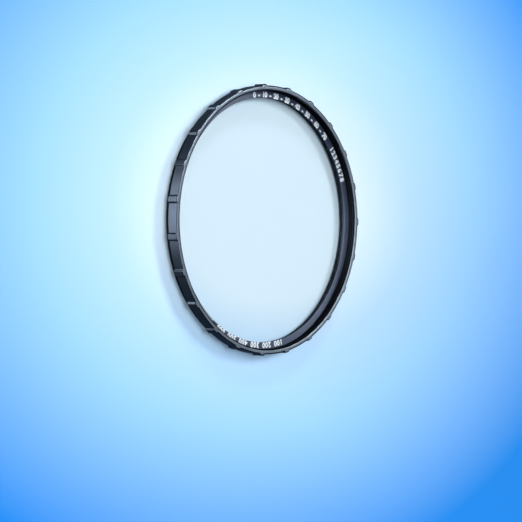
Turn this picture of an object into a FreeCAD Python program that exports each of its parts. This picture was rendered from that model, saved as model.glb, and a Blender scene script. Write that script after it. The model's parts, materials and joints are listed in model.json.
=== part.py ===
import FreeCAD, Part
import math
import os

# Screw-in ultraviolet lens filter for a 77 mm lens.
# It lies flat: the male thread points down and its end face is at Z = 0,
# the front face looks up, and the optical axis is the Z axis.
# All sizes are in millimetres.

# Threads, drawn as plain cylinders at their crests. The thread's nominal diameter
# drives every other diameter through the walls and steps named below.
thread_diameter = 77.0
thread_pitch = 0.75
crest_drop = 1.0825
male_thread_length = 2.2
thread_end_chamfer = 0.35
relief_width = 0.5
relief_depth = 0.5
lead_in_over_thread = 0.05

# Outside of the frame.
wall_over_thread = 1.1
wall_height = 3.3
front_chamfer = 0.36
shoulder_chamfer = 0.2

# Grip lugs, milled out of the wall: flat-topped, with sloping flanks.
lug_count = 23
lug_height = 0.45
lug_foot_width = 2.4
lug_top_width = 1.5

# Inside of the frame: front recess, flange that carries the writing, glass seat.
flange_depth = 2.4
flange_thickness = 0.9
flange_edge_chamfer = 0.12
seat_wall = 0.5
glass_ledge = 1.4

# Glass and the ring that keeps it in.
glass_thickness = 1.2
glass_edge_clearance = 0.1
glass_bevel = 0.15
retainer_height = 0.8
retainer_thread_clearance = 0.05
retainer_width = 0.95
retainer_chamfer = 0.3
spanner_slot_width = 1.6
spanner_slot_depth = 0.4
spanner_slot_count = 2

# Sizes and heights that follow from those above.
thread_crest = thread_diameter / 2
thread_bore = (thread_diameter - crest_drop * thread_pitch) / 2
lead_in_radius = thread_crest + lead_in_over_thread
wall_radius = thread_crest + wall_over_thread
relief_radius = thread_crest - relief_depth
seat_radius = relief_radius - seat_wall
clear_radius = seat_radius - glass_ledge
shoulder_z = male_thread_length
front_z = shoulder_z + wall_height
flange_front_z = front_z - flange_depth
flange_rear_z = flange_front_z - flange_thickness
glass_rear_z = flange_rear_z - glass_thickness
retainer_rear_z = glass_rear_z - retainer_height

# How far a cutting shape runs past the metal that it cuts.
overrun = thread_pitch


def turned(outline):
    """Solid of revolution about Z from a closed outline of (radius, height) points."""
    points = [FreeCAD.Vector(radius, 0, height) for radius, height in outline]
    face = Part.Face(Part.makePolygon(points + points[:1]))
    return face.revolve(FreeCAD.Vector(0, 0, 0), FreeCAD.Vector(0, 0, 1), 360)


def polar(radius, angle, height):
    return FreeCAD.Vector(radius * math.cos(angle), radius * math.sin(angle), height)


def flank_angle(radius, inset):
    """Half-angle at which a lug's flank, moved in by inset, meets the given radius."""
    foot = polar(wall_radius, lug_foot_width / 2 / wall_radius, 0)
    tip = polar(wall_radius + lug_height, lug_top_width / 2 / wall_radius, 0)
    along = (tip - foot).normalize()
    into_metal = FreeCAD.Vector(along.y, -along.x, 0)
    start = foot + into_metal * inset
    half_way = start.dot(along)
    travel = -half_way + math.sqrt(half_way ** 2 - start.dot(start) + radius ** 2)
    crossing = start + along * travel
    return math.atan2(crossing.y, crossing.x)


def lugged_outline(inset, height):
    """Closed outline of the wall and its lugs at one height, moved in by inset."""
    wall = wall_radius - inset
    top = wall + lug_height
    foot_angle = flank_angle(wall, inset)
    top_angle = flank_angle(top, inset)
    step = 2 * math.pi / lug_count
    edges = []
    for index in range(lug_count):
        middle = math.pi / 2 + index * step
        foot_before = polar(wall, middle - foot_angle, height)
        top_before = polar(top, middle - top_angle, height)
        top_after = polar(top, middle + top_angle, height)
        foot_after = polar(wall, middle + foot_angle, height)
        next_foot = polar(wall, middle + step - foot_angle, height)
        crown = polar(top, middle, height)
        valley = polar(wall, middle + step / 2, height)
        edges.append(Part.LineSegment(foot_before, top_before).toShape())
        edges.append(Part.Arc(top_before, crown, top_after).toShape())
        edges.append(Part.LineSegment(top_after, foot_after).toShape())
        edges.append(Part.Arc(foot_after, valley, next_foot).toShape())
    return Part.Wire(edges)


def grip_blank():
    """Full disc with the grip lugs; the front chamfer follows round every lug."""
    sections = [
        lugged_outline(shoulder_chamfer, shoulder_z),
        lugged_outline(0, shoulder_z + shoulder_chamfer),
        lugged_outline(0, front_z - front_chamfer),
        lugged_outline(front_chamfer, front_z),
    ]
    return Part.makeLoft(sections, True, True)


def male_thread_blank():
    """Round end behind the shoulder, with an end chamfer and a relief at the shoulder."""
    overlap = shoulder_z + wall_height / 2
    return turned([
        (0, 0),
        (thread_crest - thread_end_chamfer, 0),
        (thread_crest, thread_end_chamfer),
        (thread_crest, shoulder_z - relief_width),
        (relief_radius, shoulder_z - relief_width),
        (relief_radius, overlap),
        (0, overlap),
    ])


def frame_bore():
    """Everything that is turned out of the frame, front and rear, as one solid."""
    lead_in_depth = lead_in_radius - thread_bore
    edge = flange_edge_chamfer
    return turned([
        (0, -overrun),
        (seat_radius, -overrun),
        (seat_radius, flange_rear_z),
        (clear_radius, flange_rear_z),
        (clear_radius, flange_front_z - edge),
        (clear_radius + edge, flange_front_z),
        (thread_bore, flange_front_z),
        (thread_bore, front_z - lead_in_depth),
        (lead_in_radius, front_z),
        (lead_in_radius, front_z + overrun),
        (0, front_z + overrun),
    ])


def filter_frame():
    return grip_blank().fuse(male_thread_blank()).cut(frame_bore())


def filter_glass():
    """Plane disc with a small bevel on each rim; its front face lies on the flange."""
    rim = seat_radius - glass_edge_clearance
    return turned([
        (0, glass_rear_z),
        (rim - glass_bevel, glass_rear_z),
        (rim, glass_rear_z + glass_bevel),
        (rim, flange_rear_z - glass_bevel),
        (rim - glass_bevel, flange_rear_z),
        (0, flange_rear_z),
    ])


def retaining_ring():
    """Thin threaded ring behind the glass, with slots for a spanner in its rear face."""
    rim = seat_radius - retainer_thread_clearance
    opening = rim - retainer_width
    ring = turned([
        (opening, glass_rear_z),
        (rim, glass_rear_z),
        (rim, retainer_rear_z),
        (opening + retainer_chamfer, retainer_rear_z),
        (opening, retainer_rear_z + retainer_chamfer),
    ])
    length = retainer_width + 2 * overrun
    for index in range(spanner_slot_count):
        slot = Part.makeBox(length, spanner_slot_width, spanner_slot_depth + overrun)
        corner = FreeCAD.Vector(opening - overrun, -spanner_slot_width / 2, retainer_rear_z - overrun)
        slot.translate(corner)
        turn = index * 360 / spanner_slot_count
        slot.rotate(FreeCAD.Vector(0, 0, 0), FreeCAD.Vector(0, 0, 1), turn)
        ring = ring.cut(slot)
    return ring


pieces = {
    "filter_frame": filter_frame,
    "filter_glass": filter_glass,
    "retaining_ring": retaining_ring,
}

os.makedirs("parts", exist_ok=True)
for name, make in pieces.items():
    shape = make()
    box = shape.BoundBox
    print(name, len(shape.Solids), "solid,", round(shape.Volume, 2), "mm3, valid", shape.isValid(),
          "Z", round(box.ZMin, 3), "to", round(box.ZMax, 3), "width", round(box.XLength, 3))
    shape.exportStep("parts/" + name + ".step")
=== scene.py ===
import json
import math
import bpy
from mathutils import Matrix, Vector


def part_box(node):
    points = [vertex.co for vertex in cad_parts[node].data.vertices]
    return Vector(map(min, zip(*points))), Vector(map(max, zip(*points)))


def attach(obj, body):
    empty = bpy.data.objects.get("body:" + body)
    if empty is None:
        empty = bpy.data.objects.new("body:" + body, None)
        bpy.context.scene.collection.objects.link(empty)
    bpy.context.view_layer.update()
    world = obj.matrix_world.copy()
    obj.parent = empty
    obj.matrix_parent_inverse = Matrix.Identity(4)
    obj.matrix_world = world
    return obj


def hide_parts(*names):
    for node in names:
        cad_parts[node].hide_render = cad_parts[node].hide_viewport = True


bl_info = {
    "name": "Ultraviolet Lens Filter",
    "version": (1, 0, 0),
    "blender": (4, 5, 0),
    "location": "View3D > Sidebar > Lens Filter",
    "description": "Builds the finished look of an ultraviolet lens filter round its solids",
    "category": "Object",
}

import bmesh
import bpy
from mathutils import Matrix, Vector

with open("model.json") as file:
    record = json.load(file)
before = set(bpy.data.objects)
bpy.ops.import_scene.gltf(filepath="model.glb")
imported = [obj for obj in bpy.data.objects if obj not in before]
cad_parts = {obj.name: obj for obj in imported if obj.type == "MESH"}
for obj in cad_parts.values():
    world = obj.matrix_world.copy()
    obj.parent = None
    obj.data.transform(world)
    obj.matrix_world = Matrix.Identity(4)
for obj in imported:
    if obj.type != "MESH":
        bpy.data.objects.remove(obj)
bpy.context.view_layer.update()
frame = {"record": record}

MM = 0.001
BODY = "root"

# Zones of the turned section, each with a finish of its own, and how closely they are told apart.
WALL, RIM, FLANGE = 0.0, 1.0, 2.0
ZONE_MARGIN = 0.1

# Steps that curved shapes are made of.
ROUND_STEPS = 3
WALL_STEPS = 7
CROWN_STEPS = 3
RETAINER_STEPS = 60
GLASS_STEPS = 360
GLYPH_STEPS = 3

# A lug's small rounds, and how far a level's finish reaches into its edges, in edge rounds.
LUG_ROUND = 1.4
LEVEL_REACH = 0.8

# Round ends of a tick as a share of its width, and a digit's height as a share of the font's size.
TICK_ROUND = 0.45
DIGIT_SHARE = 0.72

# Distances below which segments are welded, and faces of a thread count as cut by the lead-in.
WELD = 0.002 * MM
CUT_MARGIN = 0.01 * MM

# Dyed oxide: strengths of the dye and of a painted edge highlight, the edges' share of that
# highlight, spread of roughness, depth of turned lines.
DYE_DARK, DYE_PALE, GLINT_STRENGTH = 0.8, 1.3, 3
EDGE_GLINT = 0.5
ROUGHNESS_SPREAD = 0.08
LINE_DEPTH = 0.002 * MM
METAL_SHEEN, SATIN_SHEEN = (0.5, 0.53, 0.58), (0.74, 0.84, 1.0)

# Lamps: name, clockwise azimuth, elevation, distance, width, height and radiance.
LAMPS = (
    ("Low strip", 187, 1.8, 1.6, 1.25, 0.084, 420),
    ("Key box", 205, 72, 1.6, 0.9, 0.9, 5.8),
    ("Flange box", 325, 53, 1.6, 0.5, 0.45, 13),
    ("Lead-in box", 268, 29, 1.2, 0.35, 0.22, 12),
)
LAMP_TINT = (0.88, 0.94, 1.0)

mounts = {mount["name"]: mount for mount in frame["record"]["mounts"]}
male_crest = mounts["rear_thread"]["dims"]["r_mm"] * MM
female_crest = mounts["front_thread"]["dims"]["r_mm"] * MM
frame_low, frame_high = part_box("filter_frame")
glass_low, glass_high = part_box("filter_glass")
retainer_low, retainer_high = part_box("retaining_ring")


def length(name, description, default, low=0.0):
    """A length that a user can change, in metres."""
    return bpy.props.FloatProperty(
        name=name, description=description, default=default, min=low, precision=6,
        unit="LENGTH", subtype="DISTANCE")


def angle(name, description, degrees):
    return bpy.props.FloatProperty(
        name=name, description=description, default=math.radians(degrees), subtype="ANGLE")


def amount(name, description, default):
    return bpy.props.FloatProperty(name=name, description=description, default=default, min=0.0)


def whole(name, description, default):
    return bpy.props.IntProperty(name=name, description=description, default=default, min=1)


def colour(name, description, default):
    return bpy.props.FloatVectorProperty(
        name=name, description=description, default=default, size=3, min=0.0, max=1.0,
        subtype="COLOR")


class FrameSizes(bpy.types.PropertyGroup):
    """Sizes of the turned and milled aluminium frame."""

    lug_count: whole("Lugs", "Grip lugs round the wall", 23)
    first_lug: angle("First lug", "Direction of the first lug, from +X", 90)
    lug_height: length("Lug height", "How far a lug stands out of the wall", 0.45 * MM)
    lug_foot_width: length("Lug foot", "Width of a lug where it meets the wall", 2.4 * MM)
    lug_top_width: length("Lug top", "Width of a lug's flat top", 1.5 * MM)
    wall_over_thread: length("Wall", "Metal outside the thread's crests", 1.1 * MM)
    shoulder_height: length("Shoulder", "Height of the shoulder above the rear face", 2.2 * MM)
    shoulder_chamfer: length("Shoulder chamfer", "Chamfer at the wall's rear edge", 0.2 * MM)
    front_chamfer: length(
        "Front chamfer", "Width of the chamfer at the wall's front edge", 0.42 * MM)
    chamfer_depth: length(
        "Chamfer depth", "Depth of the chamfer at the wall's front edge", 0.1 * MM)
    lead_in_over_thread: length("Lead-in", "How far the lead-in opens past the thread", 0.05 * MM)
    flange_depth: length(
        "Flange depth", "Depth of the numbered flange below the front face", 2.4 * MM)
    flange_edge_chamfer: length("Flange chamfer", "Chamfer on the flange's inner edge", 0.12 * MM)
    glass_ledge: length("Glass ledge", "How far the flange covers the glass seat", 1.4 * MM)
    seat_clearance: length(
        "Seat clearance", "Gap between the retaining ring and its seat", 0.05 * MM)
    relief_depth: length("Relief depth", "Depth of the groove behind the male thread", 0.5 * MM)
    edge_round: length("Edge round", "Small round left on each turned edge", 0.045 * MM)


class ThreadSizes(bpy.types.PropertyGroup):
    """Sizes of the fine filter thread, front and rear."""

    pitch: length("Pitch", "Advance of the thread in one turn", 0.75 * MM)
    crest_share: amount("Crest share", "Width of the male crest as a share of the pitch", 0.125)
    inner_crest_share: amount(
        "Inner crest share", "Width of the female crest as a share of the pitch", 0.4)
    phase: amount(
        "Phase", "Share of a turn by which the front thread starts below the flange", 0.42)
    root_share: amount("Root share", "Width of the ridge's foot as a share of the pitch", 0.86)
    lead_in_depth: length("Lead-in depth", "Depth over which the front thread opens", 0.12 * MM)
    end_chamfer: length("End chamfer", "Chamfer at the male thread's end", 0.35 * MM)
    relief_width: length(
        "Relief width", "Plain groove between the male thread and the shoulder", 0.5 * MM)
    run_out: length("Run-out", "Plain stretch between the flange and the front thread", 0.2 * MM)
    embed: length("Embed", "How deep a ridge is rooted in its wall", 0.04 * MM)
    steps: whole("Steps", "Stretches that one turn is made of", 240)


class GlassSizes(bpy.types.PropertyGroup):
    """Sizes of the glass and of the ring that keeps it in."""

    bevel: length("Bevel", "Ground bevel on the glass's rims", 0.15 * MM)
    retainer_width: length("Ring width", "Radial width of the retaining ring", 0.95 * MM)
    retainer_chamfer: length("Ring chamfer", "Chamfer on the ring's inner rear edge", 0.3 * MM)
    slot_count: whole("Slots", "Spanner slots in the retaining ring", 2)
    slot_width: length("Slot width", "Width of a spanner slot", 1.6 * MM)
    slot_depth: length("Slot depth", "Depth of a spanner slot", 0.4 * MM)


class MarkSizes(bpy.types.PropertyGroup):
    """Sizes of the white numbers and ticks on the flange."""

    paint: length("Paint", "Thickness of the paint above the flange", 0.012 * MM)
    radius: length("Radius", "Radius of the middle of the numbers", 37.02 * MM)
    large: length("Large numbers", "Height of the large numbers", 1.6 * MM)
    small: length("Small numbers", "Height of the small numbers", 1.55 * MM)
    tick_radius: length("Tick radius", "Radius of the middle of the ticks", 36.47 * MM)
    tick_length: length("Tick", "Length of a long tick", 0.48 * MM)
    tick_width: length("Tick width", "Width of a tick", 0.34 * MM)


class FinishColours(bpy.types.PropertyGroup):
    """Colours of the finishes."""

    wall: colour("Wall", "Black anodised wall and chamfers", (0.025, 0.030, 0.038))
    # The rim's pale colour is a painted highlight: the wall's black anodising, made far more
    # reflective.
    rim: colour("Rim", "Level rim, turned finer, paler as a painted highlight", (0.30, 0.34, 0.38))
    flange: colour("Flange", "Satin flange that carries the numbers", (0.030, 0.038, 0.066))
    # The thread's colour, darker than the wall's black, is painted shade in the recess.
    thread: colour("Thread", "Thread ridges, dull black, darker as painted shade", (0.006, 0.007, 0.009))
    # The lead-in's pale colour is partly the cut facet's own finish, partly a painted highlight.
    lead_in: colour("Lead-in", "Line cut at the thread's start, paler partly as a painted highlight", (0.12, 0.135, 0.155))
    ring: colour("Ring", "Retaining ring", (0.028, 0.033, 0.042))
    paint: colour("Paint", "White paint of the numbers", (0.93, 0.95, 0.97))
    glass: colour("Glass", "Body colour of the glass", (0.985, 1.0, 0.995))
    ground_rim: colour("Ground rim", "Colour of the glass's ground rim", (0.62, 0.78, 0.74))


class StageSettings(bpy.types.PropertyGroup):
    """Floor, light and camera."""

    # The floor's tones are partly its pale blue colour and partly a painted pool of light: palest
    # under and by the ring, darker and bluer farther out. The fade, shift, slide and squeeze shape
    # it.
    floor: colour("Floor", "Floor under the glass, palest in the painted pool of light", (0.84, 0.96, 1.0))
    floor_ring: colour(
        "Floor by the ring", "Floor just outside the ring, in the painted pool of light", (0.55, 0.78, 1.0))
    floor_middle: colour(
        "Floor farther out", "Floor beyond that, where the painted light fades", (0.38, 0.67, 1.0))
    floor_edge: colour("Floor edge", "Floor farthest out, outside the painted pool of light", (0.02, 0.26, 0.77))
    light_pool_fade: length("Floor fade", "Distance over which the painted pool of light fades", 0.165)
    light_pool_shift: length(
        "Floor shift", "How far the palest place lies above the picture's middle", 0.006)
    light_pool_slide: length("Floor slide", "How far it lies right of the picture's middle", 0.006)
    light_pool_squeeze: amount(
        "Floor squeeze", "How much faster the painted pool of light fades up the picture", 1.45)
    floor_size: length("Floor size", "Side of the square floor", 8.0)
    floor_gap: length("Floor gap", "Distance of the floor below the rear face", 0.01 * MM)
    camera_tilt: angle("Tilt", "Angle between the view and the filter's axis", 47.44)
    camera_roll: angle("Roll", "Roll of the camera about its view", 0.51)
    camera_turn: angle("Turn", "Direction of the view seen from above, off the first lug", -0.08)
    camera_distance: length(
        "Distance", "Distance of the camera from the front face's centre", 0.9091)
    camera_lens: amount("Lens", "Focal length for a 36 mm sensor, in millimetres", 212.8)
    centre_right: length(
        "Right", "How far the ring's centre lies right of the view's middle", 2.613 * MM, low=-1.0)
    centre_up: length(
        "Up", "How far the ring's centre lies above the view's middle", 12.10 * MM, low=-1.0)


def settings(name):
    return getattr(bpy.context.scene, name)


# Mesh helpers.

def blended(before, corner, after, size):
    """Points of a small round that takes the place of a corner between two straight runs."""
    corner = Vector(corner)
    start = corner + (Vector(before) - corner).normalized() * size
    end = corner + (Vector(after) - corner).normalized() * size
    points = []
    for index in range(ROUND_STEPS + 1):
        share = index / ROUND_STEPS
        first = start.lerp(corner, share)
        points.append(first.lerp(corner.lerp(end, share), share))
    return points


def divided(start, end, count):
    """Points between two ends, without the ends."""
    return [Vector(start).lerp(Vector(end), index / count) for index in range(1, count)]


def new_object(name, mesh=None):
    piece = bpy.data.objects.new(name, mesh or bpy.data.meshes.new(name))
    bpy.context.scene.collection.objects.link(piece)
    return piece


def mesh_from(name, points, faces, edges=None, zones=None):
    """Mesh from points and faces, with an edge value for each point and a zone for each face."""
    mesh = bpy.data.meshes.new(name)
    mesh.from_pydata(points, [], faces)
    if edges:
        mesh.attributes.new("edge", "FLOAT", "POINT").data.foreach_set("value", edges)
    if zones:
        mesh.attributes.new("zone", "FLOAT", "FACE").data.foreach_set("value", zones)
    return mesh


def grid_faces(rows, columns):
    """Faces between rows of points; the last row joins the first."""
    faces = []
    for row in range(rows):
        here, there = row * columns, (row + 1) % rows * columns
        for column in range(columns - 1):
            faces.append((here + column, here + column + 1, there + column + 1, there + column))
    return faces


def plain_mesh(piece):
    """Bakes what the modifiers make into the piece's own mesh and removes them."""
    graph = bpy.context.evaluated_depsgraph_get()
    made = bpy.data.meshes.new_from_object(piece.evaluated_get(graph), depsgraph=graph)
    piece.modifiers.clear()
    piece.data = made
    made.name = piece.name


def smooth(piece, crease_degrees=40):
    """Turns the faces of closed shells outwards and shades them smooth, with wide faces kept flat,
    so that only the small rounds bend the light."""
    shell = bmesh.new()
    shell.from_mesh(piece.data)
    bmesh.ops.recalc_face_normals(shell, faces=shell.faces)
    shell.to_mesh(piece.data)
    shell.free()
    piece.data.shade_smooth()
    piece.data.set_sharp_from_angle(angle=math.radians(crease_degrees))
    weighted = piece.modifiers.new("Face weighted shading", "WEIGHTED_NORMAL")
    weighted.keep_sharp = True
    plain_mesh(piece)


# Node helpers.

def node_group(name, inputs):
    """Geometry node group with the named inputs: its tree, its input sockets and output node."""
    tree = bpy.data.node_groups.new(name, "GeometryNodeTree")
    tree.interface.new_socket("Geometry", in_out="INPUT", socket_type="NodeSocketGeometry")
    for label, kind in inputs.items():
        tree.interface.new_socket(label, in_out="INPUT", socket_type="NodeSocket" + kind)
    tree.interface.new_socket("Geometry", in_out="OUTPUT", socket_type="NodeSocketGeometry")
    return tree, tree.nodes.new("NodeGroupInput").outputs, tree.nodes.new("NodeGroupOutput")


def feed(tree, node, values):
    """Sets a node's inputs, by name or number, to constants or links; a node stands for its first
    output."""
    for key, value in values.items():
        if isinstance(value, bpy.types.Node):
            value = value.outputs[0]
        if isinstance(value, bpy.types.NodeSocket):
            tree.links.new(value, node.inputs[key])
        else:
            node.inputs[key].default_value = value


def add_node(tree, kind, values=None, **options):
    """Adds a node with its options and feeds its inputs."""
    node = tree.nodes.new(kind)
    for option, value in options.items():
        setattr(node, option, value)
    feed(tree, node, values or {})
    return node


def calculate(tree, operation, *terms, kind="ShaderNodeMath"):
    """Result socket of one arithmetic node."""
    return add_node(tree, kind, dict(enumerate(terms)), operation=operation).outputs[0]


def vector(tree, **parts):
    """Node that joins named parts into a vector; the others are 0."""
    return add_node(tree, "ShaderNodeCombineXYZ", parts)


def own_place(tree):
    """Position of a shaded point in the piece's own coordinates."""
    return add_node(tree, "ShaderNodeTexCoord").outputs["Object"]


def from_axis(tree, place):
    """Flat part of a position, its distance from the Z axis and its height, as sockets."""
    split = add_node(tree, "ShaderNodeSeparateXYZ", {0: place}).outputs
    flat = vector(tree, X=split["X"], Y=split["Y"])
    far = add_node(tree, "ShaderNodeVectorMath", {0: flat}, operation="LENGTH").outputs["Value"]
    return flat, far, split["Z"]


def mixed_colour(tree, factor, first, second, **options):
    """Result socket of a mix of two colours, each a link or red, green and blue."""
    links = (bpy.types.NodeSocket, bpy.types.Node)
    ends = [end if isinstance(end, links) else (*end, 1) for end in (first, second)]
    mix = add_node(tree, "ShaderNodeMix", {"Factor": factor, 6: ends[0], 7: ends[1]},
                   data_type="RGBA", **options)
    return mix.outputs[2]


def run_nodes(piece, tree, values):
    """Runs a geometry node group on a piece, with its inputs set by name."""
    modifier = piece.modifiers.new(tree.name, "NODES")
    modifier.node_group = tree
    for item in tree.interface.items_tree:
        if item.in_out == "INPUT" and item.name in values:
            modifier[item.identifier] = values[item.name]
    plain_mesh(piece)


def repeat_round_axis():
    """Group that repeats a segment round the Z axis, welds it and gives each zone a finish."""
    name = "Repeat round axis"
    if name in bpy.data.node_groups:
        return bpy.data.node_groups[name]
    tree, given, result = node_group(name, {
        "Count": "Int", "First angle": "Float", "Weld": "Float", "Material": "Material",
        "Rim material": "Material", "Flange material": "Material"})
    step = calculate(tree, "DIVIDE", math.tau, given["Count"])
    index = add_node(tree, "GeometryNodeInputIndex")
    turn = calculate(tree, "MULTIPLY_ADD", index, step, given["First angle"])
    places = add_node(tree, "GeometryNodeMeshLine", {"Count": given["Count"], "Offset": (0, 0, 0)})
    copies = add_node(tree, "GeometryNodeInstanceOnPoints", {
        "Points": places, "Instance": given["Geometry"],
        "Rotation": vector(tree, Z=turn)})
    real = add_node(tree, "GeometryNodeRealizeInstances", {"Geometry": copies})
    welded = add_node(tree, "GeometryNodeMergeByDistance", {
        "Geometry": real, "Distance": given["Weld"]})
    finish = add_node(tree, "GeometryNodeSetMaterial", {
        "Geometry": welded, "Material": given["Material"]})
    zone = add_node(tree, "GeometryNodeInputNamedAttribute", {"Name": "zone"}, data_type="FLOAT")
    for number, label in ((RIM, "Rim material"), (FLANGE, "Flange material")):
        chosen = calculate(tree, "COMPARE", zone, number, ZONE_MARGIN)
        finish = add_node(tree, "GeometryNodeSetMaterial", {
            "Geometry": finish, "Selection": chosen, "Material": given[label]})
    feed(tree, result, {0: finish})
    return tree


def helical_ridge():
    """Group that sweeps a thread ridge along a helix and trims it to a cone and to two faces."""
    tree, given, result = node_group("Helical ridge", {
        "Wall radius": "Float", "Crest radius": "Float", "Pitch": "Float", "Foot width": "Float",
        "Crest width": "Float", "Start height": "Float", "Turns": "Float", "Steps": "Int",
        "Lowest": "Float", "Highest": "Float", "Cone radius": "Float", "Cone slope": "Float",
        "Cone side": "Float", "Material": "Material", "Cut material": "Material"})
    rise = calculate(tree, "MULTIPLY", given["Pitch"], given["Turns"])
    helix = add_node(tree, "GeometryNodeCurveSpiral", {
        "Resolution": given["Steps"], "Rotations": given["Turns"],
        "Start Radius": given["Wall radius"], "End Radius": given["Wall radius"], "Height": rise})
    upright = add_node(tree, "GeometryNodeSetCurveNormal", {"Curve": helix}, mode="Z_UP")

    # A section can't have a negative height, so a ridge that points inwards is mirrored.
    reach = calculate(tree, "SUBTRACT", given["Crest radius"], given["Wall radius"])
    section = add_node(tree, "GeometryNodeCurvePrimitiveQuadrilateral", {
        "Bottom Width": given["Foot width"], "Top Width": given["Crest width"],
        "Height": calculate(tree, "ABSOLUTE", reach), "Offset": 0.0}, mode="TRAPEZOID")
    finer = add_node(tree, "GeometryNodeSubdivideCurve", {"Curve": section, "Cuts": ROUND_STEPS})
    seated = add_node(tree, "GeometryNodeTransform", {
        "Geometry": finer, "Translation": vector(tree, Y=calculate(tree, "DIVIDE", reach, 2.0)),
        "Scale": vector(tree, X=1.0, Y=calculate(tree, "SIGN", reach), Z=1.0)})
    lying = add_node(tree, "GeometryNodeTransform", {
        "Geometry": seated, "Rotation": (0, 0, math.radians(90))})
    swept = add_node(tree, "GeometryNodeCurveToMesh", {
        "Curve": upright, "Profile Curve": lying, "Fill Caps": True})
    lifted = add_node(tree, "GeometryNodeTransform", {
        "Geometry": swept, "Translation": vector(tree, Z=given["Start height"])})

    # Every point is drawn between the two faces and on to the given side of the cone.
    flat, radius, height = from_axis(tree, add_node(tree, "GeometryNodeInputPosition"))
    level = calculate(tree, "MINIMUM", given["Highest"],
                      calculate(tree, "MAXIMUM", given["Lowest"], height))
    cone = calculate(tree, "MULTIPLY_ADD", given["Cone slope"], level, given["Cone radius"])
    side = given["Cone side"]
    farther = calculate(tree, "MAXIMUM", calculate(tree, "MULTIPLY", side, radius),
                        calculate(tree, "MULTIPLY", side, cone))
    share = calculate(tree, "DIVIDE", calculate(tree, "MULTIPLY", side, farther), radius)
    drawn = add_node(tree, "ShaderNodeVectorMath", {0: flat, "Scale": share}, operation="SCALE")
    target = calculate(tree, "ADD", drawn, vector(tree, Z=level), kind="ShaderNodeVectorMath")
    shaped = add_node(tree, "GeometryNodeSetPosition", {"Geometry": lifted, "Position": target})
    real = add_node(tree, "GeometryNodeRealizeInstances", {"Geometry": shaped})
    finish = add_node(tree, "GeometryNodeSetMaterial", {
        "Geometry": real, "Material": given["Material"]})

    # Faces that now lie on the cone are cut by it; their material's paler colour is partly a
    #     painted highlight.
    cone = calculate(tree, "MULTIPLY_ADD", given["Cone slope"], height, given["Cone radius"])
    fresh = add_node(tree, "GeometryNodeSetMaterial", {
        "Geometry": finish, "Material": given["Cut material"],
        "Selection": calculate(tree, "COMPARE", radius, cone, CUT_MARGIN)})
    feed(tree, result, {0: fresh})
    return tree


def dial_ticks():
    """Group that lays painted strokes with round ends along an arc of the flange."""
    tree, given, result = node_group("Dial ticks", {
        "Count": "Int", "First angle": "Float", "Step": "Float", "Radius": "Float",
        "Height": "Float", "Length": "Float", "Width": "Float", "Thickness": "Float",
        "Long every": "Int", "Short share": "Float", "Material": "Material"})
    index = add_node(tree, "GeometryNodeInputIndex")
    turn = calculate(tree, "MULTIPLY_ADD", index, given["Step"], given["First angle"])
    place = vector(
        tree, X=calculate(tree, "MULTIPLY", given["Radius"], calculate(tree, "COSINE", turn)),
        Y=calculate(tree, "MULTIPLY", given["Radius"], calculate(tree, "SINE", turn)),
        Z=given["Height"])
    line = add_node(tree, "GeometryNodeMeshLine", {"Count": given["Count"], "Offset": (0, 0, 0)})
    spots = add_node(tree, "GeometryNodeSetPosition", {"Geometry": line, "Position": place})
    stroke = add_node(tree, "GeometryNodeCurvePrimitiveQuadrilateral", {
        "Width": given["Length"], "Height": given["Width"]})
    ends = add_node(tree, "GeometryNodeFilletCurve", {
        "Curve": stroke, "Count": ROUND_STEPS,
        "Radius": calculate(tree, "MULTIPLY", given["Width"], TICK_ROUND)}, mode="POLY")
    filled = add_node(tree, "GeometryNodeFillCurve", {"Curve": ends})
    raised = add_node(tree, "GeometryNodeExtrudeMesh", {
        "Mesh": filled, "Offset Scale": given["Thickness"], "Individual": False})
    rest = calculate(tree, "MODULO", index, given["Long every"])
    short = calculate(tree, "GREATER_THAN", rest, 0.5)
    lost = calculate(tree, "SUBTRACT", 1.0, given["Short share"])
    size = calculate(tree, "SUBTRACT", 1.0, calculate(tree, "MULTIPLY", short, lost))
    copies = add_node(tree, "GeometryNodeInstanceOnPoints", {
        "Points": spots, "Instance": raised.outputs["Mesh"],
        "Rotation": vector(tree, Z=turn), "Scale": vector(tree, X=size, Y=1.0, Z=1.0)})
    real = add_node(tree, "GeometryNodeRealizeInstances", {"Geometry": copies})
    finish = add_node(tree, "GeometryNodeSetMaterial", {
        "Geometry": real, "Material": given["Material"]})
    feed(tree, result, {0: finish})
    return tree


# Shader groups and materials.

def shader_group(name, inputs, outputs):
    """Shader node group with float inputs and typed outputs: tree, input sockets, output node."""
    tree = bpy.data.node_groups.new(name, "ShaderNodeTree")
    for label, default in inputs.items():
        socket = tree.interface.new_socket(label, in_out="INPUT", socket_type="NodeSocketFloat")
        socket.default_value = default
    for label, kind in outputs.items():
        tree.interface.new_socket(label, in_out="OUTPUT", socket_type="NodeSocket" + kind)
    return tree, tree.nodes.new("NodeGroupInput").outputs, tree.nodes.new("NodeGroupOutput")


def turning_marks():
    """Fine lines that a lathe tool leaves round the axis, on faces and walls alike."""
    name = "Turning marks"
    if name in bpy.data.node_groups:
        return bpy.data.node_groups[name]
    tree, given, result = shader_group(
        name, {"Lines per metre": 9000.0, "Depth": 1.0}, {"Height": "Float"})
    _, radius, level = from_axis(tree, own_place(tree))
    lines = add_node(tree, "ShaderNodeTexNoise", {
        "Vector": vector(tree, X=radius, Y=level), "Scale": given["Lines per metre"],
        "Detail": 3.0}, noise_dimensions="2D")
    feed(tree, result, {"Height": calculate(tree, "MULTIPLY", lines, given["Depth"])})
    return tree


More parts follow.
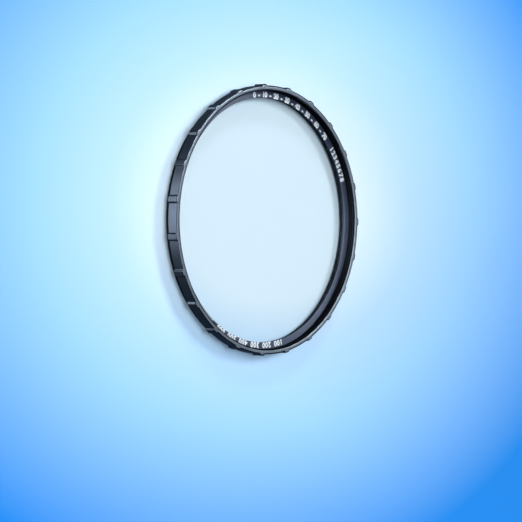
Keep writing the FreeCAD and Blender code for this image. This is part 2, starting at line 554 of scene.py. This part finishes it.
def dye_grain():
    """Fine grain and wider patches of the dyed oxide layer, as values round 0.5."""
    name = "Dye grain"
    if name in bpy.data.node_groups:
        return bpy.data.node_groups[name]
    tree, given, result = shader_group(
        name, {"Grains per metre": 14000.0, "Patches per metre": 260.0},
        {"Grain": "Float", "Patches": "Float"})
    place = own_place(tree)
    for label, source in (("Grain", "Grains per metre"), ("Patches", "Patches per metre")):
        noise = add_node(tree, "ShaderNodeTexNoise", {
            "Vector": place, "Scale": given[source], "Detail": 2.0})
        feed(tree, result, {label: noise})
    return tree


def new_material(name):
    """Material with its node tree and main shader."""
    material = bpy.data.materials.new(name)
    material.use_nodes = True
    return material, material.node_tree, material.node_tree.nodes["Principled BSDF"]


def use_group(tree, group):
    return add_node(tree, "ShaderNodeGroup", node_tree=group)


def clear_where(tree, factor, shader, tint=(1, 1, 1)):
    """Makes a material clear where the factor is 1."""
    clear = add_node(tree, "ShaderNodeBsdfTransparent", {"Color": (*tint, 1)})
    mixed = add_node(tree, "ShaderNodeMixShader", {0: factor, 1: shader, 2: clear})
    feed(tree, tree.nodes["Material Output"], {"Surface": mixed})


def anodised_aluminium(name, base, roughness, anisotropy, depth, metal=1.0):
    """Black dyed aluminium; its turned lines spread the light across them, the dye is a
    little uneven, and its edge rounds carry a painted highlight."""
    material, tree, shader = new_material(name)
    dark, pale, glint_base = ([part * share for part in base] for share in (DYE_DARK, DYE_PALE, GLINT_STRENGTH))
    grain = use_group(tree, dye_grain())
    marks = use_group(tree, turning_marks())
    edge = add_node(tree, "ShaderNodeAttribute", attribute_name="edge").outputs["Fac"]
    patchy = mixed_colour(tree, grain.outputs["Patches"], dark, pale)
    # The edge rounds get a brighter base colour: a painted highlight.
    edge_glinted = mixed_colour(tree, calculate(tree, "MULTIPLY", edge, EDGE_GLINT), patchy, glint_base)
    bump = add_node(tree, "ShaderNodeBump", {
        "Height": marks, "Strength": depth, "Distance": LINE_DEPTH})
    axis = add_node(tree, "ShaderNodeTangent", direction_type="RADIAL", axis="Z")
    feed(tree, shader, {
        "Base Color": edge_glinted,
        "Roughness": calculate(tree, "MULTIPLY_ADD", grain.outputs["Grain"], ROUGHNESS_SPREAD,
                               roughness - ROUGHNESS_SPREAD / 2),
        "Normal": bump,
        "Tangent": axis,
        "Anisotropic": anisotropy,
        "Anisotropic Rotation": 0.25,
        "Metallic": metal,
        "IOR": 1.77,
        "Specular IOR Level": 0.8,
        "Specular Tint": (*(METAL_SHEEN if metal else SATIN_SHEEN), 1)})
    return material


def white_paint():
    """Matt white paint, slightly uneven."""
    material, tree, shader = new_material("White paint")
    base = settings("filter_finish").paint
    shaded = [part * 0.93 for part in base]
    grain = use_group(tree, dye_grain())
    bump = add_node(tree, "ShaderNodeBump", {
        "Height": grain.outputs["Grain"], "Strength": 0.2, "Distance": 0.003 * MM})
    feed(tree, shader, {
        "Base Color": mixed_colour(tree, grain.outputs["Grain"], shaded, base),
        "Roughness": calculate(tree, "MULTIPLY_ADD", grain.outputs["Patches"], 0.15, 0.42),
        "Normal": bump,
        "Specular IOR Level": 0.4})
    return material


def coated_glass():
    """Clear plane glass with a coating that takes most of the reflection, and a ground rim."""
    material, tree, shader = new_material("Coated glass")
    finish = settings("filter_finish")
    _, radius, _ = from_axis(tree, own_place(tree))
    rim_start = glass_high.x - settings("filter_glass").bevel * 1.05
    rim = add_node(tree, "ShaderNodeMapRange", {
        "Value": radius, "From Min": rim_start, "From Max": rim_start + 0.02 * MM})
    grain = use_group(tree, dye_grain())
    frosted = calculate(tree, "MULTIPLY_ADD", grain.outputs["Grain"], 0.2, 0.5)
    feed(tree, shader, {
        "Base Color": mixed_colour(tree, rim, finish.glass, finish.ground_rim),
        "Roughness": calculate(tree, "MULTIPLY", rim, frosted),
        "Transmission Weight": 1.0,
        "IOR": 1.52,
        "Specular IOR Level": 0.05,
        "Specular Tint": (0.75, 1.0, 0.85, 1)})
    rays = add_node(tree, "ShaderNodeLightPath").outputs
    passing = calculate(tree, "MAXIMUM", rays["Is Shadow Ray"], rays["Is Diffuse Ray"])
    clear_where(tree, passing, shader, tint=(0.99, 1.0, 1.0))
    return material


def floor_paper():
    """Pale paper with hardly any sheen and a painted pool of light, palest near the ring and
    darker and bluer farther out; it isn't seen from below.
    """
    material, tree, shader = new_material("Pale paper")
    stage = settings("filter_stage")
    place = own_place(tree)
    moved = add_node(tree, "ShaderNodeVectorMath", {
        0: place, 1: (stage.light_pool_squeeze, 1, 1),
        2: (stage.light_pool_shift, -stage.light_pool_slide, 0)}, operation="MULTIPLY_ADD")
    reach = add_node(tree, "ShaderNodeVectorMath", {0: moved}, operation="LENGTH").outputs["Value"]
    faded = calculate(tree, "DIVIDE", reach, stage.light_pool_fade)
    # The ramp paints a pool of light on the paper: pale near the ring, darker blue farther out.
    sweep = add_node(tree, "ShaderNodeValToRGB", {0: faded})
    tones = ((0.25, stage.floor), (0.40, stage.floor_ring), (0.58, stage.floor_middle),
             (1.0, stage.floor_edge))
    stops = sweep.color_ramp.elements
    while len(stops) < len(tones):
        stops.new(0.5)
    for stop, (position, tone) in zip(stops, tones):
        stop.position = position
        stop.color = (*tone, 1)
    fibres = add_node(tree, "ShaderNodeTexNoise", {"Vector": place, "Scale": 900.0, "Detail": 4.0})
    feed(tree, shader, {
        "Base Color": mixed_colour(tree, fibres, sweep, (0.98, 0.985, 0.99),
                                   blend_type="MULTIPLY"),
        "Roughness": 0.9,
        "Specular IOR Level": 0.1})
    below = add_node(tree, "ShaderNodeNewGeometry").outputs["Backfacing"]
    clear_where(tree, below, shader)
    return material


# Shapes of the frame.

def wall_radius():
    return male_crest + settings("filter_frame").wall_over_thread


def lug_outline(inset):
    """One pitch of the grip seen from above, lug in the middle, moved in by inset, as rows of
    (angle, radius)."""
    sizes = settings("filter_frame")
    wall = wall_radius() - inset
    crown = wall + sizes.lug_height
    lean = math.atan2(sizes.lug_height, (sizes.lug_foot_width - sizes.lug_top_width) / 2)
    narrower = inset * math.tan(lean / 2)
    foot = sizes.lug_foot_width / 2 - narrower
    top = sizes.lug_top_width / 2 - narrower
    end = math.pi / sizes.lug_count * wall
    soft = sizes.edge_round * LUG_ROUND
    corners = [(-end, wall), (-foot, wall), (-top, crown), (top, crown), (foot, wall), (end, wall)]
    rounds = [blended(corners[place - 1], corners[place], corners[place + 1], soft)
              for place in range(1, len(corners) - 1)]
    points = [Vector(corners[0]), *divided(corners[0], rounds[0][0], WALL_STEPS)]
    points += rounds[0] + rounds[1] + divided(rounds[1][-1], rounds[2][0], CROWN_STEPS)
    points += rounds[2] + rounds[3]
    points += [*divided(rounds[3][-1], corners[-1], WALL_STEPS), Vector(corners[-1])]
    return [(along / wall, radius) for along, radius in points]


def frame_profile():
    """Closed section of the frame as (radius, height, follows the lugs, edge) rows, and the zones
    between them."""
    sizes = settings("filter_frame")
    front = frame_high.z
    wall = wall_radius()
    shoulder = sizes.shoulder_height
    lead_in = male_crest + sizes.lead_in_over_thread
    flange = front - sizes.flange_depth
    seat = retainer_high.x + sizes.seat_clearance
    clear = seat - sizes.glass_ledge
    seat_top = glass_high.z
    root = male_crest - sizes.relief_depth
    bevel = sizes.flange_edge_chamfer
    corners = [
        (seat, frame_low.z, 0, 1),
        (root, frame_low.z, 0, 1),
        (root, shoulder, 0, 0),
        (wall - sizes.shoulder_chamfer, shoulder, 1, 1),
        (wall, shoulder + sizes.shoulder_chamfer, 1, 1),
        (wall, front - sizes.chamfer_depth, 1, 1),
        (wall - sizes.front_chamfer, front, 1, 1),
        (lead_in, front, 0, 1),
        (male_crest, front - sizes.lead_in_over_thread, 0, 0),
        (male_crest, flange, 0, 0),
        (clear + bevel, flange, 0, 1),
        (clear, flange - bevel, 0, 1),
        (clear, seat_top, 0, 1),
        (seat, seat_top, 0, 0),
    ]
    rows = []
    for place, (radius, height, lugged, sharp) in enumerate(corners):
        before, after = corners[place - 1], corners[(place + 1) % len(corners)]
        if sharp:
            points = blended(before[:2], (radius, height), after[:2], sizes.edge_round)
        else:
            points = [Vector((radius, height))]
        for step, point in enumerate(points):
            edge = 1.0 if sharp and 0 < step < ROUND_STEPS else 0.0
            rows.append((point.x, point.y, lugged, edge))
    levels, reach, zones = {FLANGE: flange, RIM: front}, sizes.edge_round * LEVEL_REACH, []
    for here, there in zip(rows, rows[1:] + rows[:1]):
        zone = [name for name, level in levels.items()
                if abs(here[1] - level) < reach and abs(there[1] - level) < reach]
        zones.append(zone[0] if zone else WALL)
    return rows, zones


def frame_segment():
    """Mesh of one pitch of the frame, open at its two ends."""
    rows, zones = frame_profile()
    plain = lug_outline(0.0)
    points, edges = [], []
    for radius, height, lugged, edge in rows:
        outline = [(turn, radius) for turn, _ in plain]
        if lugged:
            outline = lug_outline(wall_radius() - radius)
        for turn, reach in outline:
            points.append((reach * math.cos(turn), reach * math.sin(turn), height))
            edges.append(edge)
    faces = grid_faces(len(rows), len(plain))
    face_zones = [zone for zone in zones for _ in range(len(plain) - 1)]
    return mesh_from("frame_segment", points, faces, edges, face_zones)


def retainer_segment():
    """Mesh of one share of the retaining ring, with its spanner slot in the middle."""
    sizes = settings("filter_glass")
    rim, opening = retainer_high.x, retainer_high.x - sizes.retainer_width
    low, high = retainer_low.z, retainer_high.z
    soft = settings("filter_frame").edge_round
    slot_floor = low + sizes.slot_depth
    corners = [
        (opening, high),
        (rim, high),
        (rim, low),
        (opening + sizes.retainer_chamfer, low),
        (opening, low + sizes.retainer_chamfer),
    ]
    section = []
    for place, corner in enumerate(corners):
        after = corners[(place + 1) % len(corners)]
        section += blended(corners[place - 1], corner, after, soft)
    share = math.pi / sizes.slot_count
    half = sizes.slot_width / 2
    arc = [-share + (share - half / rim) * step / RETAINER_STEPS for step in range(RETAINER_STEPS)]
    sides = [half * 0.4, half, half + soft * 0.3, half + soft]
    sides = [-side for side in reversed(sides)] + sides
    points = []
    for radius, height in section:
        across = [(turn, 0.0) for turn in arc]
        across += [(math.asin(side / radius), max(0.0, min(1.0, (half + soft - abs(side)) / soft)))
                   for side in sides]
        across += [(-turn, 0.0) for turn in reversed(arc)]
        for turn, sunk in across:
            level = max(height, low + (slot_floor - low) * sunk)
            points.append((radius * math.cos(turn), radius * math.sin(turn), level))
    faces = grid_faces(len(section), len(arc) * 2 + len(sides))
    return mesh_from("retainer_segment", points, faces)


def glass_disc():
    """Mesh of the glass: flat faces, ground bevels and a straight rim."""
    bevel = settings("filter_glass").bevel
    rim, low, high = glass_high.x, glass_low.z, glass_high.z
    section = [(rim - bevel, low), (rim, low + bevel), (rim, high - bevel), (rim - bevel, high)]
    turns = [math.tau * step / GLASS_STEPS for step in range(GLASS_STEPS)]
    points = [(radius * math.cos(turn), radius * math.sin(turn), height)
              for radius, height in section for turn in turns]
    last = (len(section) - 1) * GLASS_STEPS
    faces = []
    for here in range(0, last, GLASS_STEPS):
        there = here + GLASS_STEPS
        for step in range(GLASS_STEPS):
            after = (step + 1) % GLASS_STEPS
            faces.append((here + step, here + after, there + after, there + step))
    faces.append(tuple(reversed(range(GLASS_STEPS))))
    faces.append(tuple(range(last, last + GLASS_STEPS)))
    return mesh_from("filter_glass_disc", points, faces)


# Numbers on the flange.

def image_angle(degrees):
    """World angle for a clockwise angle that starts at the side away from the camera."""
    return math.radians(90 - degrees)


def number_arc(shell, text, first, last, height, weight, shift=0.0):
    """Adds characters along an arc from one clockwise angle to another, tops outwards, moved out
    by shift."""
    marks = settings("filter_marks")
    flange = frame_high.z - settings("filter_frame").flange_depth
    for place, character in enumerate(text):
        if character == " ":
            continue
        curve = bpy.data.curves.new("character", "FONT")
        curve.body = character
        curve.size = height / DIGIT_SHARE
        curve.align_x = "CENTER"
        curve.extrude = marks.paint / 2
        curve.offset = weight
        curve.resolution_u = GLYPH_STEPS
        carrier = bpy.data.objects.new("character", curve)
        glyph = bpy.data.meshes.new_from_object(carrier)
        bpy.data.objects.remove(carrier)
        turn = image_angle(first + (last - first) * place / (len(text) - 1))
        seat = Matrix.Translation((0, marks.radius + shift - height / 2, flange + marks.paint / 2))
        glyph.transform(Matrix.Rotation(turn - math.pi / 2, 4, "Z") @ seat)
        shell.from_mesh(glyph)


class FILTER_OT_frame(bpy.types.Operator):
    """Builds the frame with its grip lugs and turned edges"""

    bl_idname = "lens_filter.frame"
    bl_label = "Frame"

    def execute(self, context):
        sizes, finish = context.scene.filter_frame, context.scene.filter_finish
        piece = new_object("filter_frame_body", frame_segment())
        run_nodes(piece, repeat_round_axis(), {
            "Count": sizes.lug_count, "First angle": sizes.first_lug, "Weld": WELD,
            "Material": anodised_aluminium(
                "Anodised wall", finish.wall, roughness=0.52, anisotropy=0.85, depth=0.25),
            # The rim's pale base colour is a painted highlight.
            "Rim material": anodised_aluminium(
                "Turned rim", finish.rim, roughness=0.37, anisotropy=0.25, depth=0.2),
            "Flange material": anodised_aluminium(
                "Satin flange", finish.flange, roughness=0.42, anisotropy=0.6, depth=0.2,
                metal=0.0)})
        smooth(piece)
        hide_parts("filter_frame")
        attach(piece, BODY)
        return {"FINISHED"}


class FILTER_OT_threads(bpy.types.Operator):
    """Winds the thread ridges in front and behind"""

    bl_idname = "lens_filter.threads"
    bl_label = "Threads"

    def execute(self, context):
        sizes, thread = context.scene.filter_frame, context.scene.filter_thread
        colours = context.scene.filter_finish
        # The thread's darker colour is painted shade.
        finish = anodised_aluminium(
            "Anodised thread", colours.thread, roughness=0.6, anisotropy=0.5, depth=0.1)
        # The cut lead-in's paler colour is partly a painted highlight.
        cut = anodised_aluminium(
            "Cut lead-in", colours.lead_in, roughness=0.3, anisotropy=0.5, depth=0.1)
        group = helical_ridge()
        front, flange = frame_high.z, frame_high.z - sizes.flange_depth
        rear, relief = frame_low.z, sizes.shoulder_height - thread.relief_width
        lead_in = male_crest + sizes.lead_in_over_thread
        opening = (lead_in - female_crest) / thread.lead_in_depth
        shared = {
            "Pitch": thread.pitch, "Foot width": thread.pitch * thread.root_share,
            "Steps": thread.steps, "Material": finish, "Cut material": cut}
        ridges = {
            "front_thread_ridge": {
                "Wall radius": male_crest + thread.embed, "Crest radius": female_crest,
                "Crest width": thread.pitch * thread.inner_crest_share,
                "Start height": flange - thread.pitch * thread.phase,
                "Turns": (front - flange + thread.pitch * 1.5) / thread.pitch,
                "Lowest": flange + thread.run_out, "Highest": front - thread.embed,
                "Cone radius": lead_in - opening * front, "Cone slope": opening,
                "Cone side": 1.0},
            "rear_thread_ridge": {
                "Wall radius": male_crest - sizes.relief_depth - thread.embed,
                "Crest radius": male_crest,
                "Crest width": thread.pitch * thread.crest_share,
                "Start height": rear - thread.pitch / 2,
                "Turns": (relief + thread.pitch) / thread.pitch,
                "Lowest": rear + thread.embed, "Highest": relief,
                "Cone radius": male_crest - thread.end_chamfer - rear, "Cone slope": 1.0,
                "Cone side": -1.0},
        }
        for name, values in ridges.items():
            piece = new_object(name)
            run_nodes(piece, group, {**shared, **values})
            smooth(piece, 30)
            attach(piece, BODY)
        return {"FINISHED"}


class FILTER_OT_glass(bpy.types.Operator):
    """Grinds the glass disc"""

    bl_idname = "lens_filter.glass"
    bl_label = "Glass"

    def execute(self, context):
        piece = new_object("coated_glass_disc", glass_disc())
        piece.data.materials.append(coated_glass())
        smooth(piece, 30)
        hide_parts("filter_glass")
        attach(piece, BODY)
        return {"FINISHED"}


class FILTER_OT_retainer(bpy.types.Operator):
    """Turns the slotted ring that keeps the glass in"""

    bl_idname = "lens_filter.retainer"
    bl_label = "Retaining ring"

    def execute(self, context):
        sizes = context.scene.filter_glass
        piece = new_object("glass_retainer", retainer_segment())
        finish = anodised_aluminium(
            "Anodised ring", context.scene.filter_finish.ring, roughness=0.45, anisotropy=0.7,
            depth=0.2)
        run_nodes(piece, repeat_round_axis(), {
            "Count": sizes.slot_count, "First angle": 0.0, "Weld": WELD, "Material": finish})
        smooth(piece)
        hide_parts("retaining_ring")
        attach(piece, BODY)
        return {"FINISHED"}


class FILTER_OT_marks(bpy.types.Operator):
    """Paints plain numbers and ticks on the flange"""

    bl_idname = "lens_filter.marks"
    bl_label = "Numbers and ticks"

    def execute(self, context):
        marks = context.scene.filter_marks
        flange = frame_high.z - context.scene.filter_frame.flange_depth
        paint = white_paint()
        shell = bmesh.new()
        number_arc(shell, "100 200 300 400 500 600", first=77.5, last=121.5, height=marks.large,
                   weight=0.1 * MM)
        number_arc(shell, "0 - 10 - 20 - 30 - 40 - 50 - 60 - 70", first=263, last=317,
                   height=marks.small, weight=0.14 * MM)
        number_arc(shell, "12345678", first=324, last=340, height=marks.small, weight=0.14 * MM,
                   shift=0.2 * MM)
        mesh = bpy.data.meshes.new("flange_numbers")
        shell.to_mesh(mesh)
        shell.free()
        mesh.materials.append(paint)
        numbers = new_object("flange_numbers", mesh)
        strokes = new_object("flange_ticks")
        run_nodes(strokes, dial_ticks(), {
            "Count": 21, "First angle": image_angle(126.5), "Step": math.radians(-1.15),
            "Radius": marks.tick_radius, "Height": flange, "Length": marks.tick_length,
            "Width": marks.tick_width, "Thickness": marks.paint, "Long every": 5,
            "Short share": 0.8, "Material": paint})
        for piece in (numbers, strokes):
            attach(piece, BODY)
        return {"FINISHED"}


def direction(azimuth, elevation):
    """Unit vector for a clockwise image azimuth and an elevation above the floor, in degrees."""
    turn, rise = image_angle(azimuth), math.radians(elevation)
    return Vector((
        math.cos(turn) * math.cos(rise), math.sin(turn) * math.cos(rise), math.sin(rise)))


def soft_box(name, azimuth, elevation, distance, width, height, radiance):
    """Rectangular lamp that looks at the ring's centre; radiance is what it would show to the
    eye."""
    lamp = bpy.data.lights.new(name, "AREA")
    lamp.shape = "RECTANGLE"
    lamp.size, lamp.size_y = width, height
    lamp.energy = radiance * math.pi * width * height
    lamp.color = LAMP_TINT
    carrier = bpy.data.objects.new(name, lamp)
    bpy.context.scene.collection.objects.link(carrier)
    carrier.visible_camera = False
    outwards = direction(azimuth, elevation)
    facing = outwards.to_track_quat("Z", "Y").to_matrix().to_4x4()
    carrier.matrix_world = Matrix.Translation(outwards * distance) @ facing


def studio_world():
    """Pale round the horizon and below, dimmer overhead."""
    world = bpy.data.worlds.new("Studio")
    world.use_nodes = True
    tree = world.node_tree
    place = add_node(tree, "ShaderNodeTexCoord").outputs["Generated"]
    up = add_node(tree, "ShaderNodeSeparateXYZ", {0: place}).outputs["Z"]
    height = add_node(tree, "ShaderNodeMapRange", {
        "Value": up, "From Min": 0.02, "From Max": 0.3}, interpolation_type="SMOOTHSTEP")
    tone = mixed_colour(tree, height, (0.35, 0.55, 0.75), (0.13, 0.16, 0.2))
    feed(tree, tree.nodes["Background"], {"Color": tone})
    bpy.context.scene.world = world


def photo_camera():
    """Camera at the photograph's viewing angle, over the lying ring and rolled a quarter turn."""
    stage = settings("filter_stage")
    tilt, roll, turn = stage.camera_tilt, stage.camera_roll, stage.camera_turn
    away = Vector((-math.sin(turn), math.cos(turn), 0))
    across = Vector((math.cos(turn), math.sin(turn), 0))
    upright = Vector((0, 0, 1))
    level = away * math.cos(tilt) + upright * math.sin(tilt)
    right = level * math.cos(roll) - across * math.sin(roll)
    up = -(level * math.sin(roll) + across * math.cos(roll))
    back = upright * math.cos(tilt) - away * math.sin(tilt)
    centre = Vector((0, 0, frame_high.z))
    place = centre - right * stage.centre_right - up * stage.centre_up
    place += back * stage.camera_distance
    lens = bpy.data.cameras.new("Camera")
    lens.lens = stage.camera_lens
    lens.sensor_width = 36.0
    lens.clip_start, lens.clip_end = 0.01, 100.0
    camera = bpy.data.objects.new("Camera", lens)
    bpy.context.scene.collection.objects.link(camera)
    turned = Matrix((right, up, back)).transposed().to_4x4()
    camera.matrix_world = Matrix.Translation(place) @ turned
    bpy.context.scene.camera = camera


class FILTER_OT_stage(bpy.types.Operator):
    """Sets the floor, the soft light and the camera"""

    bl_idname = "lens_filter.stage"
    bl_label = "Floor, light and camera"

    def execute(self, context):
        stage = context.scene.filter_stage
        half = stage.floor_size / 2
        level = frame_low.z - stage.floor_gap
        corners = [(-half, -half, level), (half, -half, level), (half, half, level),
                   (-half, half, level)]
        floor = new_object("floor", mesh_from("floor", corners, [(0, 1, 2, 3)]))
        floor.data.materials.append(floor_paper())
        for lamp in LAMPS:
            soft_box(*lamp)
        studio_world()
        photo_camera()
        context.scene.view_settings.view_transform = "Standard"
        return {"FINISHED"}


class FILTER_PT_panel(bpy.types.Panel):
    """Lists the filter's pieces"""

    bl_idname = "FILTER_PT_panel"
    bl_label = "Lens Filter"
    bl_space_type = "VIEW_3D"
    bl_region_type = "UI"
    bl_category = "Lens Filter"

    def draw(self, context):
        for operator in operators:
            self.layout.operator(operator.bl_idname)
        for name in property_groups:
            box = self.layout.box()
            group = getattr(context.scene, name)
            for label in group.bl_rna.properties.keys():
                if label not in ("rna_type", "name"):
                    box.prop(group, label)


property_groups = {
    "filter_frame": FrameSizes,
    "filter_thread": ThreadSizes,
    "filter_glass": GlassSizes,
    "filter_marks": MarkSizes,
    "filter_finish": FinishColours,
    "filter_stage": StageSettings,
}

operators = (
    FILTER_OT_frame,
    FILTER_OT_threads,
    FILTER_OT_glass,
    FILTER_OT_retainer,
    FILTER_OT_marks,
    FILTER_OT_stage,
)

classes = (*property_groups.values(), *operators, FILTER_PT_panel)


def register():
    for kind in classes:
        bpy.utils.register_class(kind)
    for name, group in property_groups.items():
        setattr(bpy.types.Scene, name, bpy.props.PointerProperty(type=group))


def unregister():
    for name in property_groups:
        delattr(bpy.types.Scene, name)
    for kind in reversed(classes):
        bpy.utils.unregister_class(kind)


def main():
    register()
    bpy.ops.lens_filter.frame()
    bpy.ops.lens_filter.threads()
    bpy.ops.lens_filter.glass()
    bpy.ops.lens_filter.retainer()
    bpy.ops.lens_filter.marks()
    bpy.ops.lens_filter.stage()


if __name__ == "__main__":
    main()
